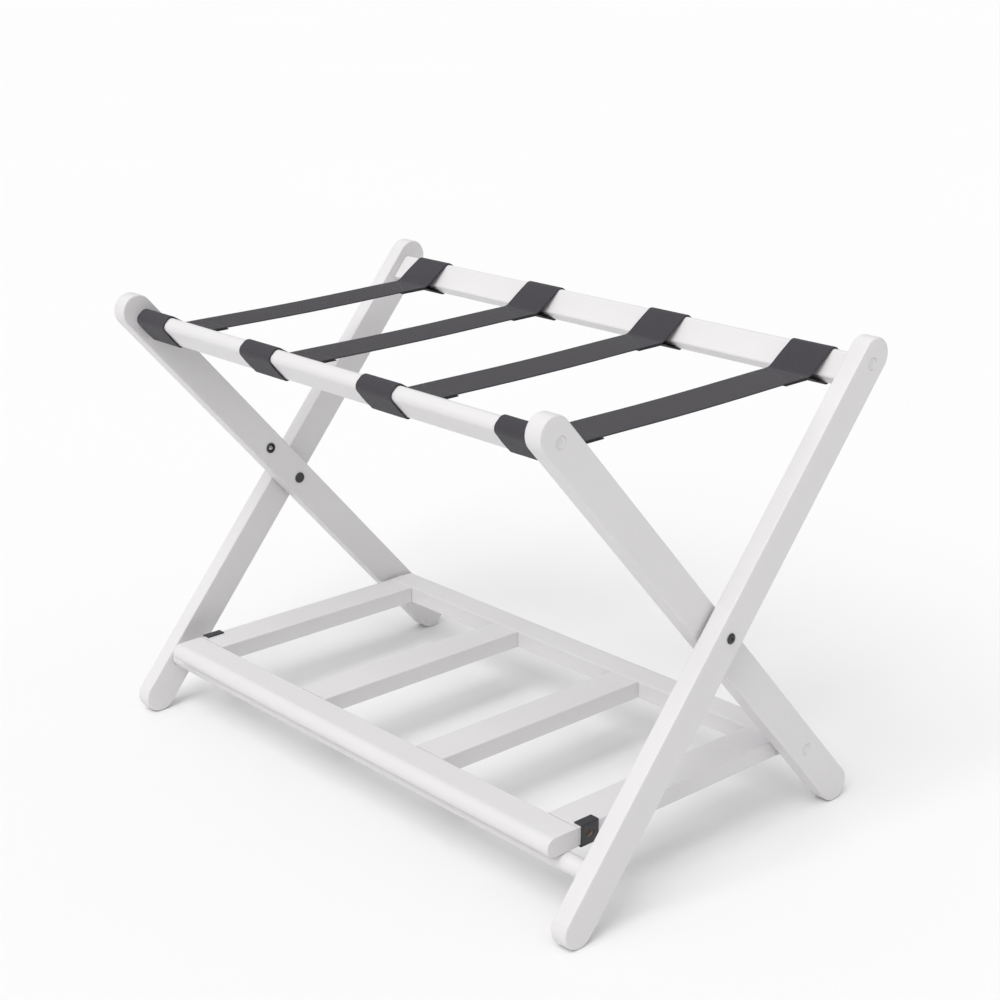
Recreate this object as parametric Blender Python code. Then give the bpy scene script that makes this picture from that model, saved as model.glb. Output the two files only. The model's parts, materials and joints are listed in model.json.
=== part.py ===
"""Folding luggage rack: a white wooden scissor frame with four webbing straps on top and a
hinged slatted shelf below.

Axes: X along the rails, Y from the front (-Y) to the back (+Y), Z up.  The origin is on the
floor, under the middle of the rack.  All sizes are in metres.

The rack has three bodies.  The outer frame holds two legs, the back top rail and a round
lower rail.  The inner frame turns on two bolts in the outer legs and holds two legs and the
front top rail.  The shelf turns on two screws in the inner legs and rests on the round rail.
"""

from math import acos, atan2, cos, degrees, hypot, pi, radians, sin

import bmesh
import bpy
from mathutils import Vector

# ---------------------------------------------------------------- driving dimensions

SIDES = (("left", -1), ("right", 1))
GAP = 0.0003                  # clearance between pieces that touch
LEAN = radians(40.6)          # each leg's angle from the vertical when the rack stands open

RACK_HALF_LENGTH = 0.330      # middle of the rack to the outer face of an outer leg
LEG_WIDTH = 0.034
LEG_THICKNESS = 0.018
LEG_SPACING = 0.003           # slit between an outer leg and its inner leg
LEG_ABOVE_PIVOT = 0.282       # fold axis to the centre of the leg's round top end
LEG_BELOW_PIVOT = 0.276       # fold axis to the centre of the leg's round foot
LEG_EDGE_RADIUS = 0.0015

RAIL_THICKNESS = 0.015
RAIL_WIDTH = 0.030
RAIL_BELOW_LEG_TOP = 0.0025   # centre of the leg's round end to the rail's upper edge
RAIL_UPPER_RADIUS = 0.0055
RAIL_LOWER_RADIUS = 0.002

ROUND_RAIL_RADIUS = 0.009
ROUND_RAIL_BELOW_PIVOT = 0.2304
ROUND_RAIL_FORWARD = 0.004    # offset from the leg's centre line, towards the shelf
ROUND_RAIL_SOCKET = 0.010     # depth of its glued ends inside the outer legs

HINGE_BELOW_PIVOT = 0.2078    # fold axis to the shelf hinge, along the inner leg
SHELF_END = 0.2872            # middle of the rack to the shelf's end face
SHELF_NOSE = 0.311            # shelf hinge to the shelf's round front edge
SHELF_THICKNESS = 0.018
SHELF_BAR_WIDTH = 0.036
SHELF_CROSS_WIDTH = 0.038
SHELF_EDGE_RADIUS = 0.0015

CATCH_FROM_HINGE = 0.2622     # shelf hinge to the ball catch and to the strike plate
CATCH_RADIUS = 0.0047
CATCH_DEPTH = 0.013
CATCH_FLANGE_RADIUS = 0.0057
CATCH_FLANGE_THICKNESS = 0.0006
CATCH_BALL_RADIUS = 0.0035
STRIKE_WIDTH = 0.020
STRIKE_THICKNESS = 0.0012
STRIKE_FLANGE = 0.0085
STRIKE_HOLE_RADIUS = 0.0038
STRIKE_POCKET_DEPTH = 0.004   # drilled in the wood behind the strike plate's hole

STRAP_WIDTH = 0.048
STRAP_THICKNESS = 0.0015
STRAP_CENTRES = (-0.265, -0.087, 0.087, 0.265)
STRAP_JOIN = 0.1438           # middle of the rack to where a strap's two layers come together
STRAP_BEND = 0.004            # length eased at the bend there
LAP_END = 0.112               # middle of the rack to the sewn end, which lies under the strap

BOLT_RADIUS = 0.003
BOLT_HEAD_RADIUS = 0.005
BOLT_HEAD_HEIGHT = 0.0014
SLEEVE_RADIUS = 0.0043
SLEEVE_LENGTH = 0.015
SLEEVE_HEAD_RADIUS = 0.006
SLEEVE_HEAD_HEIGHT = 0.001
SPACER_RADIUS = 0.008

SCREW_HEAD_RADIUS = 0.005
SCREW_HEAD_HEIGHT = 0.0024
SCREW_SHANK_RADIUS = 0.0035
SCREW_THREAD_RADIUS = 0.0025
SCREW_LENGTH = 0.050
SCREW_BELOW_LEG_TOP = 0.008
SCREW_RECESS = 0.006          # depth in the leg of the recess for a screw head and its cover
HINGE_SCREW_LENGTH = 0.055
COVER_RADIUS = 0.0055
COVER_THICKNESS = 0.0016
COVER_DEPTH = 0.0012          # leg's surface to the face of the cover set into it

PIN_RADIUS = 0.004            # wooden dowel pins that stop the top rails turning
PIN_BELOW_LEG_TOP = 0.023
PIN_IN_LEG = 0.010
PIN_IN_RAIL = 0.020
SHELF_PIN_RADIUS = 0.003
SHELF_PIN_HALF_LENGTH = 0.012

ROUND_SEGMENTS = 24
SMALL_SEGMENTS = 20

# ---------------------------------------------------------------- places worked out from them

INNER_FACE_OF_OUTER_LEG = RACK_HALF_LENGTH - LEG_THICKNESS
OUTER_FACE_OF_INNER_LEG = INNER_FACE_OF_OUTER_LEG - LEG_SPACING
INNER_FACE_OF_INNER_LEG = OUTER_FACE_OF_INNER_LEG - LEG_THICKNESS

SCREW_HEAD_DEPTH = COVER_DEPTH + COVER_THICKNESS + GAP

PIVOT_HEIGHT = LEG_WIDTH / 2 + LEG_BELOW_PIVOT * cos(LEAN)
HINGE_Y = HINGE_BELOW_PIVOT * sin(LEAN)
HINGE_Z = PIVOT_HEIGHT - HINGE_BELOW_PIVOT * cos(LEAN)

RAIL_TOP = LEG_ABOVE_PIVOT - RAIL_BELOW_LEG_TOP
RAIL_BOTTOM = RAIL_TOP - RAIL_WIDTH
RAIL_SCREW_HEIGHT = LEG_ABOVE_PIVOT - SCREW_BELOW_LEG_TOP
RAIL_PIN_HEIGHT = LEG_ABOVE_PIVOT - PIN_BELOW_LEG_TOP
CATCH_HEIGHT = CATCH_FROM_HINGE - HINGE_BELOW_PIVOT

ROUND_RAIL_Y = -ROUND_RAIL_BELOW_PIVOT * sin(LEAN) - ROUND_RAIL_FORWARD * cos(LEAN)
ROUND_RAIL_Z = PIVOT_HEIGHT - ROUND_RAIL_BELOW_PIVOT * cos(LEAN) + ROUND_RAIL_FORWARD * sin(LEAN)

SHELF_BAR_BACK_HALF = SHELF_BAR_WIDTH / 2
SHELF_OPEN_FRONT = -SHELF_NOSE + SHELF_BAR_WIDTH
SHELF_OPEN_BACK = -SHELF_BAR_BACK_HALF


def shelf_tilt():
    """The shelf's small upward tilt to the front, so that its underside just meets the rail."""
    run = HINGE_Y - ROUND_RAIL_Y
    rise = ROUND_RAIL_Z - HINGE_Z
    reach = ROUND_RAIL_RADIUS + GAP + SHELF_THICKNESS / 2
    straight = hypot(run, rise)
    return atan2(rise, run) + atan2(reach, (straight ** 2 - reach ** 2) ** 0.5)


SHELF_TILT = shelf_tilt()

WHITE_PAINT = ((0.86, 0.855, 0.85), 0.38, 0.0)
RAW_BEECH = ((0.72, 0.55, 0.36), 0.6, 0.0)
WHITE_PLASTIC = ((0.84, 0.84, 0.83), 0.35, 0.0)
BLACK_STEEL = ((0.03, 0.03, 0.033), 0.4, 0.9)
ZINC_STEEL = ((0.62, 0.62, 0.63), 0.35, 1.0)
POLISHED_STEEL = ((0.7, 0.7, 0.7), 0.15, 1.0)
BLACK_NYLON = ((0.04, 0.04, 0.042), 0.5, 0.0)
GREY_WEBBING = ((0.075, 0.075, 0.08), 0.85, 0.0)


# ---------------------------------------------------------------- helpers

def clear_scene():
    for item in list(bpy.data.objects):
        bpy.data.objects.remove(item, do_unlink=True)


def add_axis(name, parent, location, turn):
    """An empty on a joint's axis, which the pieces of one moving body hang from."""
    axis = bpy.data.objects.new(name, None)
    bpy.context.scene.collection.objects.link(axis)
    axis.parent = parent
    axis.location = location
    axis.rotation_euler = (turn, 0.0, 0.0)
    return axis


def paint(item, look):
    colour, roughness, metallic = look
    material = bpy.data.materials.new(item.name + "_finish")
    material.use_nodes = True
    shader = material.node_tree.nodes["Principled BSDF"]
    shader.inputs["Base Color"].default_value = (*colour, 1.0)
    shader.inputs["Roughness"].default_value = roughness
    shader.inputs["Metallic"].default_value = metallic
    item.data.materials.append(material)


def add_object(name, points, faces, parent=None):
    mesh = bpy.data.meshes.new(name)
    mesh.from_pydata(points, [], faces)
    mesh.validate()
    item = bpy.data.objects.new(name, mesh)
    bpy.context.scene.collection.objects.link(item)
    item.parent = parent
    return item


def prism(outline, axis, start, end):
    """Points and faces of an outline drawn across one axis and extruded along it."""
    def place(along, u, v):
        if axis == "X":
            return (along, u, v)
        return (u, along, v)

    count = len(outline)
    points = [place(start, u, v) for u, v in outline] + [place(end, u, v) for u, v in outline]
    sides = [(i, (i + 1) % count, count + (i + 1) % count, count + i) for i in range(count)]
    caps = [tuple(reversed(range(count))), tuple(range(count, 2 * count))]
    return points, sides + caps


def turned(profile, centre, segments, closed=False):
    """A solid turned about an X axis through centre, from (x, radius) points.

    An open profile starts and ends on the axis.  A closed one makes a ring.
    """
    points = []
    rings = []
    for x, radius in profile:
        if radius == 0.0:
            rings.append([len(points)])
            points.append((x, centre[0], centre[1]))
            continue
        rings.append(list(range(len(points), len(points) + segments)))
        for step in range(segments):
            angle = 2 * pi * step / segments
            points.append((x, centre[0] + radius * cos(angle), centre[1] + radius * sin(angle)))
    pairs = list(zip(rings, rings[1:]))
    if closed:
        pairs.append((rings[-1], rings[0]))
    faces = []
    for first, second in pairs:
        for step in range(segments):
            after = (step + 1) % segments
            corners = [first[step % len(first)], first[after % len(first)],
                       second[after % len(second)], second[step % len(second)]]
            faces.append(tuple(dict.fromkeys(corners)))
    return points, faces


def join_shapes(shapes):
    """Several separate closed shapes as one list of points and faces."""
    points = []
    faces = []
    for more_points, more_faces in shapes:
        offset = len(points)
        points += more_points
        faces += [tuple(index + offset for index in face) for face in more_faces]
    return points, faces


def face_outwards(item):
    work = bmesh.new()
    work.from_mesh(item.data)
    bmesh.ops.recalc_face_normals(work, faces=work.faces)
    work.to_mesh(item.data)
    work.free()


def add_piece(name, shape, parent, look, smooth_below=40.0):
    item = add_object(name, *shape, parent=parent)
    face_outwards(item)
    item.data.shade_smooth()
    item.data.set_sharp_from_angle(angle=radians(smooth_below))
    paint(item, look)
    return item


def add_cutter(name, shapes, parent):
    cutter = add_object(name, *join_shapes(shapes), parent=parent)
    face_outwards(cutter)
    cutter.hide_render = True
    cutter.display_type = "WIRE"
    return cutter


def cut(item, cutter):
    modifier = item.modifiers.new("holes", "BOOLEAN")
    modifier.operation = "DIFFERENCE"
    modifier.solver = "EXACT"
    modifier.object = cutter


def round_edges(item, radius, segments=2):
    modifier = item.modifiers.new("round edges", "BEVEL")
    modifier.width = radius
    modifier.segments = segments
    modifier.limit_method = "ANGLE"
    modifier.angle_limit = radians(50.0)


def arc(centre, radius, start, end, steps):
    """Points on an arc, with its angles in degrees from the first axis towards the second."""
    angles = [radians(start + (end - start) * step / steps) for step in range(steps + 1)]
    return [(centre[0] + radius * cos(a), centre[1] + radius * sin(a)) for a in angles]


def rod(start, end, centre, radius, segments=SMALL_SEGMENTS):
    """A plain cylinder along X."""
    profile = [(start, 0.0), (start, radius), (end, radius), (end, 0.0)]
    return turned(profile, centre, segments)


def ring(start, end, centre, outer, inner, segments=SMALL_SEGMENTS):
    profile = [(start, inner), (start, outer), (end, outer), (end, inner)]
    return turned(profile, centre, segments, closed=True)


def rod_along_y(x, start, end, height, radius):
    points, faces = rod(start, end, (x, height), radius, 16)
    return [(across, along, up) for along, across, up in points], faces


# ---------------------------------------------------------------- legs

def leg_outline():
    """A straight bar with half-round ends, drawn in the leg's own Y and Z."""
    radius = LEG_WIDTH / 2
    steps = ROUND_SEGMENTS
    return (arc((0.0, LEG_ABOVE_PIVOT), radius, 0, 180, steps)
            + arc((0.0, -LEG_BELOW_PIVOT), radius, 180, 360, steps))


def cover_recess(side, outer_face, height):
    """The round recess in a leg's outer face for a screw's head and its cover."""
    return rod(side * (outer_face - SCREW_RECESS), side * (outer_face + 0.002), (0.0, height),
               COVER_RADIUS + GAP, ROUND_SEGMENTS)


def screw_hole(side, outer_face):
    """A clearance hole through a leg, and the recess for the screw's head and cover."""
    far = outer_face - LEG_THICKNESS
    return [rod(side * (far - 0.002), side * (outer_face + 0.002), (0.0, RAIL_SCREW_HEIGHT),
                SCREW_SHANK_RADIUS + GAP),
            cover_recess(side, outer_face, RAIL_SCREW_HEIGHT)]


def add_leg(name, side, outer_face, frame, hole_sets):
    inner_face = outer_face - LEG_THICKNESS
    shape = prism(leg_outline(), "X", side * inner_face, side * outer_face)
    leg = add_piece(name, shape, frame, WHITE_PAINT)
    round_edges(leg, LEG_EDGE_RADIUS)
    for number, holes in enumerate(hole_sets):
        cut(leg, add_cutter(f"{name}_holes_{number}", holes, frame))
    return leg


def pin_hole_in_leg(side, inner_face):
    return rod(side * (inner_face - 0.002), side * (inner_face + PIN_IN_LEG + GAP),
               (0.0, RAIL_PIN_HEIGHT), PIN_RADIUS + GAP)


def add_outer_legs(frame):
    for word, side in SIDES:
        inner_face = INNER_FACE_OF_OUTER_LEG
        pivot = rod(side * (inner_face - 0.002), side * (RACK_HALF_LENGTH + 0.002), (0.0, 0.0),
                    BOLT_RADIUS + GAP)
        socket = rod(side * (inner_face - 0.002), side * (inner_face + ROUND_RAIL_SOCKET + GAP),
                     (-ROUND_RAIL_FORWARD, -ROUND_RAIL_BELOW_PIVOT),
                     ROUND_RAIL_RADIUS + GAP, ROUND_SEGMENTS)
        shank, recess = screw_hole(side, RACK_HALF_LENGTH)
        holes = [[pivot, socket, shank, pin_hole_in_leg(side, inner_face)], [recess]]
        add_leg(f"outer_leg_{word}", side, RACK_HALF_LENGTH, frame, holes)


def add_inner_legs(frame):
    for word, side in SIDES:
        inner_face = INNER_FACE_OF_INNER_LEG
        outer_face = OUTER_FACE_OF_INNER_LEG
        pivot = rod(side * (inner_face - 0.002), side * (outer_face + 0.002), (0.0, 0.0),
                    SLEEVE_RADIUS + GAP)
        hinge = rod(side * (inner_face - 0.002), side * (outer_face + 0.002),
                    (0.0, -HINGE_BELOW_PIVOT), SCREW_THREAD_RADIUS + GAP)
        hinge_recess = cover_recess(side, outer_face, -HINGE_BELOW_PIVOT)
        catch = rod(side * (inner_face - 0.002), side * (inner_face + CATCH_DEPTH + GAP),
                    (0.0, CATCH_HEIGHT), CATCH_RADIUS + GAP)
        shank, recess = screw_hole(side, outer_face)
        pin_hole = pin_hole_in_leg(side, inner_face)
        holes = [[pivot, hinge, catch, shank, pin_hole], [hinge_recess, recess]]
        add_leg(f"inner_leg_{word}", side, outer_face, frame, holes)


# ---------------------------------------------------------------- rails

def rail_outline():
    """The flat rail's section: two full corners on top and two small ones below."""
    half = RAIL_THICKNESS / 2
    top = RAIL_UPPER_RADIUS
    low = RAIL_LOWER_RADIUS
    return (arc((half - top, RAIL_TOP - top), top, 0, 90, 6)
            + arc((-half + top, RAIL_TOP - top), top, 90, 180, 6)
            + arc((-half + low, RAIL_BOTTOM + low), low, 180, 270, 3)
            + arc((half - low, RAIL_BOTTOM + low), low, 270, 360, 3))


def add_top_rail(name, half_space, frame):
    end = half_space - GAP
    rail = add_piece(name, prism(rail_outline(), "X", -end, end), frame, WHITE_PAINT, 25.0)
    screw_depth = SCREW_LENGTH - LEG_THICKNESS + 0.002
    holes = []
    for _, side in SIDES:
        holes.append(rod(side * (end + 0.002), side * (end - screw_depth),
                         (0.0, RAIL_SCREW_HEIGHT), SCREW_THREAD_RADIUS + GAP))
        holes.append(rod(side * (end + 0.002), side * (end - PIN_IN_RAIL - GAP),
                         (0.0, RAIL_PIN_HEIGHT), PIN_RADIUS + GAP))
    cut(rail, add_cutter(name + "_holes", holes, frame))


def add_round_rail(frame):
    end = INNER_FACE_OF_OUTER_LEG + ROUND_RAIL_SOCKET
    shape = rod(-end, end, (-ROUND_RAIL_FORWARD, -ROUND_RAIL_BELOW_PIVOT), ROUND_RAIL_RADIUS,
                ROUND_SEGMENTS)
    add_piece("round_lower_rail", shape, frame, WHITE_PAINT)


def add_rail_fixings(group, outer_face, frame):
    """A screw, its cover and a dowel pin at each end of one top rail."""
    inner_face = outer_face - LEG_THICKNESS
    for word, side in SIDES:
        add_piece(f"{group}_rail_screw_{word}", screw(side, outer_face, RAIL_SCREW_HEIGHT),
                  frame, ZINC_STEEL)
        add_piece(f"{group}_screw_cover_{word}", cover(side, outer_face, RAIL_SCREW_HEIGHT),
                  frame, WHITE_PLASTIC)
        pin = rod(side * (inner_face - PIN_IN_RAIL), side * (inner_face + PIN_IN_LEG),
                  (0.0, RAIL_PIN_HEIGHT), PIN_RADIUS, 16)
        add_piece(f"{group}_rail_pin_{word}", pin, frame, RAW_BEECH)


def screw(side, outer_face, height):
    """A stepped wood screw, from its recessed head to its tip inside the rail."""
    head = outer_face - SCREW_HEAD_DEPTH
    shank_end = outer_face - LEG_THICKNESS + GAP
    tip = outer_face - SCREW_LENGTH
    profile = [(head, 0.0), (head, SCREW_HEAD_RADIUS),
               (head - SCREW_HEAD_HEIGHT, SCREW_HEAD_RADIUS),
               (head - SCREW_HEAD_HEIGHT, SCREW_SHANK_RADIUS),
               (shank_end, SCREW_SHANK_RADIUS), (shank_end, SCREW_THREAD_RADIUS),
               (tip + 0.004, SCREW_THREAD_RADIUS), (tip, 0.0)]
    return turned([(side * x, radius) for x, radius in profile], (0.0, height), SMALL_SEGMENTS)


def cover(side, face, height):
    """A flat cap over a screw head, a little below the leg's surface."""
    top = face - COVER_DEPTH
    base = top - COVER_THICKNESS
    edge = 0.0004
    profile = [(base, 0.0), (base, COVER_RADIUS), (top - edge, COVER_RADIUS),
               (top, COVER_RADIUS - edge), (top, 0.0)]
    return turned([(side * x, radius) for x, radius in profile], (0.0, height), ROUND_SEGMENTS)


# ---------------------------------------------------------------- fold pivot

def add_pivots(outer_frame, inner_frame):
    for word, side in SIDES:
        add_piece(f"pivot_bolt_{word}", pivot_bolt(side), outer_frame, BLACK_STEEL)
        spacer = ring(side * (OUTER_FACE_OF_INNER_LEG + GAP), side * (INNER_FACE_OF_OUTER_LEG - GAP),
                      (0.0, 0.0), SPACER_RADIUS, BOLT_RADIUS + GAP)
        add_piece(f"pivot_spacer_{word}", spacer, outer_frame, BLACK_NYLON)
        add_piece(f"pivot_sleeve_{word}", pivot_sleeve(side), inner_frame, BLACK_STEEL)


def pivot_bolt(side):
    head = RACK_HALF_LENGTH + GAP
    end = INNER_FACE_OF_INNER_LEG + 0.003
    profile = [(head + BOLT_HEAD_HEIGHT, 0.0), (head + BOLT_HEAD_HEIGHT, 0.6 * BOLT_HEAD_RADIUS),
               (head + 0.6 * BOLT_HEAD_HEIGHT, 0.9 * BOLT_HEAD_RADIUS),
               (head, BOLT_HEAD_RADIUS), (head, BOLT_RADIUS), (end, BOLT_RADIUS), (end, 0.0)]
    return turned([(side * x, radius) for x, radius in profile], (0.0, 0.0), SMALL_SEGMENTS)


def pivot_sleeve(side):
    """The flanged nut inside the inner leg that the bolt screws into."""
    face = INNER_FACE_OF_INNER_LEG
    mouth = face + SLEEVE_LENGTH
    floor = face + 0.002
    bore = BOLT_RADIUS + GAP
    profile = [(face - GAP - SLEEVE_HEAD_HEIGHT, 0.0),
               (face - GAP - SLEEVE_HEAD_HEIGHT, SLEEVE_HEAD_RADIUS - 0.0006),
               (face - GAP, SLEEVE_HEAD_RADIUS), (face - GAP, SLEEVE_RADIUS),
               (mouth, SLEEVE_RADIUS), (mouth, bore), (floor, bore), (floor, 0.0)]
    return turned([(side * x, radius) for x, radius in profile], (0.0, 0.0), SMALL_SEGMENTS)


# ---------------------------------------------------------------- ball catches

def add_catches(frame):
    for word, side in SIDES:
        add_piece(f"catch_barrel_{word}", catch_barrel(side), frame, BLACK_STEEL)
        add_piece(f"catch_ball_{word}", catch_ball(side), frame, POLISHED_STEEL)


def catch_barrel(side):
    """A cup set in the inner leg, open towards the shelf, with a thin rim on the leg's face."""
    face = INNER_FACE_OF_INNER_LEG
    rim = face - GAP - CATCH_FLANGE_THICKNESS
    end = face + CATCH_DEPTH
    bore = CATCH_BALL_RADIUS + GAP
    floor = face + CATCH_BALL_RADIUS + 0.003
    profile = [(end, 0.0), (end, CATCH_RADIUS), (face - GAP, CATCH_RADIUS),
               (face - GAP, CATCH_FLANGE_RADIUS), (rim, CATCH_FLANGE_RADIUS - 0.0003),
               (rim, bore), (floor, bore), (floor, 0.0)]
    return turned([(side * x, radius) for x, radius in profile], (0.0, CATCH_HEIGHT),
                  SMALL_SEGMENTS)


def catch_ball(side):
    """The sprung ball, standing about two fifths of its radius out of the leg's face."""
    centre = INNER_FACE_OF_INNER_LEG + 0.6 * CATCH_BALL_RADIUS
    steps = 10
    profile = []
    for step in range(steps + 1):
        angle = pi * step / steps
        radius = 0.0 if step in (0, steps) else CATCH_BALL_RADIUS * sin(angle)
        profile.append((side * (centre - CATCH_BALL_RADIUS * cos(angle)), radius))
    return turned(profile, (0.0, CATCH_HEIGHT), SMALL_SEGMENTS)


# ---------------------------------------------------------------- shelf

def shelf_bar_outline(front, back, round_front, round_back):
    """A shelf bar's section in the shelf's own Y and Z, with a half-round outer edge."""
    half = SHELF_THICKNESS / 2
    small = SHELF_EDGE_RADIUS
    outline = []
    if round_back:
        outline += arc((back - half, 0.0), half, -90, 90, 12)
    else:
        outline += arc((back - small, -half + small), small, -90, 0, 3)
        outline += arc((back - small, half - small), small, 0, 90, 3)
    if round_front:
        outline += arc((front + half, 0.0), half, 90, 270, 12)
    else:
        outline += arc((front + small, half - small), small, 90, 180, 3)
        outline += arc((front + small, -half + small), small, 180, 270, 3)
    return outline


def shelf_pin_places():
    inner_edge = SHELF_END - SHELF_CROSS_WIDTH
    opening = (2 * inner_edge - 2 * SHELF_CROSS_WIDTH) / 3
    slat = (opening + SHELF_CROSS_WIDTH) / 2
    end = SHELF_END - SHELF_CROSS_WIDTH / 2
    return {"end_left": -end, "slat_left": -slat, "slat_right": slat, "end_right": end}


def add_shelf_bars(shelf):
    places = shelf_pin_places()
    front_outline = shelf_bar_outline(-SHELF_NOSE, SHELF_OPEN_FRONT, True, False)
    back_outline = shelf_bar_outline(SHELF_OPEN_BACK, SHELF_BAR_BACK_HALF, False, True)
    front = add_piece("shelf_front_bar", prism(front_outline, "X", -SHELF_END, SHELF_END),
                      shelf, WHITE_PAINT, 25.0)
    back = add_piece("shelf_back_bar", prism(back_outline, "X", -SHELF_END, SHELF_END),
                     shelf, WHITE_PAINT, 25.0)
    reach = SHELF_PIN_HALF_LENGTH + GAP
    bore = SHELF_PIN_RADIUS + GAP
    front_holes = [rod_along_y(x, SHELF_OPEN_FRONT - reach, SHELF_OPEN_FRONT + 0.002, 0.0, bore)
                   for x in places.values()]
    back_holes = [rod_along_y(x, SHELF_OPEN_BACK - 0.002, SHELF_OPEN_BACK + reach, 0.0, bore)
                  for x in places.values()]
    screw_depth = HINGE_SCREW_LENGTH - LEG_THICKNESS
    back_holes += [rod(side * (SHELF_END + 0.002), side * (SHELF_END - screw_depth), (0.0, 0.0),
                       SCREW_THREAD_RADIUS + GAP) for _, side in SIDES]
    cut(front, add_cutter("shelf_front_bar_holes", front_holes, shelf))
    cut(back, add_cutter("shelf_back_bar_holes", back_holes, shelf))


def add_shelf_cross_bars(shelf):
    half = SHELF_THICKNESS / 2
    half_width = SHELF_CROSS_WIDTH / 2
    edge = SHELF_EDGE_RADIUS
    front = SHELF_OPEN_FRONT + GAP
    back = SHELF_OPEN_BACK - GAP
    bore = SHELF_PIN_RADIUS + GAP
    reach = SHELF_PIN_HALF_LENGTH + GAP
    for word, x in shelf_pin_places().items():
        outline = []
        for angle, u, v in ((0, 1, 1), (90, -1, 1), (180, -1, -1), (270, 1, -1)):
            corner = (x + u * (half_width - edge), v * (half - edge))
            outline += arc(corner, edge, angle, angle + 90, 3)
        bar = add_piece(f"shelf_{word}", prism(outline, "Y", front, back), shelf, WHITE_PAINT)
        holes = [rod_along_y(x, front - 0.002, front + reach, 0.0, bore),
                 rod_along_y(x, back - reach, back + 0.002, 0.0, bore)]
        if word in ("end_left", "end_right"):
            holes.append(strike_pocket(-1 if word == "end_left" else 1))
        cut(bar, add_cutter(f"shelf_{word}_holes", holes, shelf))
        for place, joint in (("front", SHELF_OPEN_FRONT), ("back", SHELF_OPEN_BACK)):
            pin = rod_along_y(x, joint - SHELF_PIN_HALF_LENGTH, joint + SHELF_PIN_HALF_LENGTH,
                              0.0, SHELF_PIN_RADIUS)
            add_piece(f"shelf_{word}_pin_{place}", pin, shelf, RAW_BEECH)


def strike_pocket(side):
    return rod(side * (SHELF_END + 0.002), side * (SHELF_END - STRIKE_POCKET_DEPTH),
               (-CATCH_FROM_HINGE, 0.0), STRIKE_HOLE_RADIUS)


def add_shelf_hinges(shelf, inner_frame):
    for word, side in SIDES:
        face = OUTER_FACE_OF_INNER_LEG
        head = face - SCREW_HEAD_DEPTH
        tip = face - HINGE_SCREW_LENGTH
        profile = [(head, 0.0), (head, SCREW_HEAD_RADIUS),
                   (head - SCREW_HEAD_HEIGHT, SCREW_HEAD_RADIUS),
                   (head - SCREW_HEAD_HEIGHT, SCREW_THREAD_RADIUS),
                   (tip + 0.004, SCREW_THREAD_RADIUS), (tip, 0.0)]
        shape = turned([(side * x, radius) for x, radius in profile], (0.0, 0.0), SMALL_SEGMENTS)
        add_piece(f"shelf_hinge_screw_{word}", shape, shelf, ZINC_STEEL)
        washer = ring(side * (SHELF_END + GAP), side * (INNER_FACE_OF_INNER_LEG - GAP),
                      (0.0, 0.0), SPACER_RADIUS, SCREW_THREAD_RADIUS + GAP)
        add_piece(f"shelf_hinge_washer_{word}", washer, shelf, WHITE_PLASTIC)
        add_piece(f"shelf_hinge_cover_{word}", cover(side, face, -HINGE_BELOW_PIVOT), inner_frame,
                  WHITE_PLASTIC)


def add_strikes(shelf):
    """Steel clips round the shelf's ends, with the hole that the catch's ball drops into."""
    half = SHELF_THICKNESS / 2 + GAP
    outer = half + STRIKE_THICKNESS
    plate = SHELF_END + GAP
    back_of_flange = plate - STRIKE_FLANGE
    corner = STRIKE_THICKNESS
    for word, side in SIDES:
        outline = [(back_of_flange, half), (plate, half), (plate, -half), (back_of_flange, -half),
                   (back_of_flange, -outer)]
        outline += arc((plate, -half), corner, -90, 0, 4)
        outline += arc((plate, half), corner, 0, 90, 4)
        outline.append((back_of_flange, outer))
        mirrored = [(side * x, z) for x, z in outline]
        shape = prism(mirrored, "Y", -CATCH_FROM_HINGE - STRIKE_WIDTH / 2,
                      -CATCH_FROM_HINGE + STRIKE_WIDTH / 2)
        clip = add_piece(f"shelf_strike_{word}", shape, shelf, BLACK_STEEL)
        hole = rod(side * (plate - GAP / 2), side * (plate + STRIKE_THICKNESS + 0.002),
                   (-CATCH_FROM_HINGE, 0.0), STRIKE_HOLE_RADIUS)
        cut(clip, add_cutter(f"shelf_strike_{word}_hole", [hole], shelf))


# ---------------------------------------------------------------- straps

def front_rail_point(across, height):
    """A point of the front top rail's section, in the rack's own Y and Z."""
    return (across * cos(LEAN) - height * sin(LEAN),
            PIVOT_HEIGHT + across * sin(LEAN) + height * cos(LEAN))


def touching_angle(point, centre, radius, side):
    """The angle, at a corner's centre, where a straight run from a point touches its curve."""
    across = point[0] - centre[0]
    up = point[1] - centre[1]
    return degrees(atan2(up, across) + side * acos(radius / hypot(across, up)))


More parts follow.
